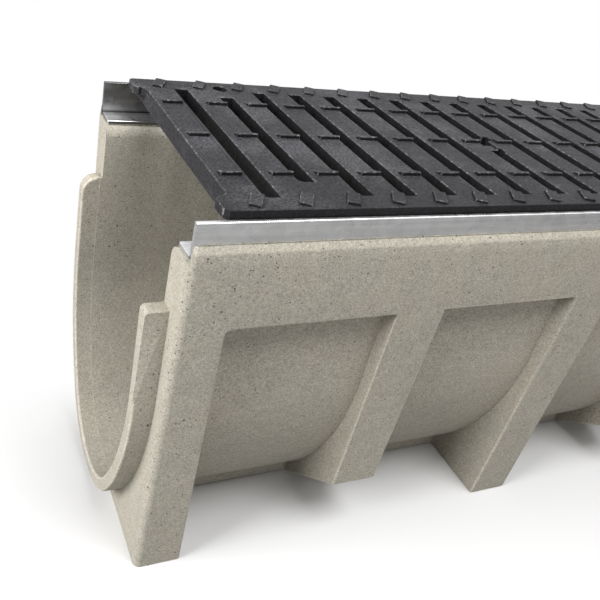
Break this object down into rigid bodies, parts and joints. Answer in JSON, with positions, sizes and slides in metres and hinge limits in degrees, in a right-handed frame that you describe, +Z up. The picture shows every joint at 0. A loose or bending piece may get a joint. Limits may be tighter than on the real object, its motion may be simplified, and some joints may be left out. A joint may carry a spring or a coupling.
{
  "type": "channel drain",
  "caption": "Polymer concrete drainage channel with galvanised edge rails and loose slotted cast iron gratings.",
  "frame": {"origin": "middle of the overall length and width, tongue included, on the ground under the keel and feet", "axes": "+X along the channel, away from the tongue; +Y across the channel; +Z up"},
  "size_m": [1.014, 0.209, 0.2844],
  "materials": {
    "polymer_concrete": "matte, fine pores and dark specks",
    "galvanised_steel": "dull zinc coating",
    "cast_iron": "rough as cast, dark coating"
  },
  "bodies": {
    "root": {"channel_body": "polymer_concrete", "edge_rail_near": "galvanised_steel", "edge_rail_far": "galvanised_steel", "grating_first": "cast_iron", "grating_second": "cast_iron"}
  },
  "joints": []
}
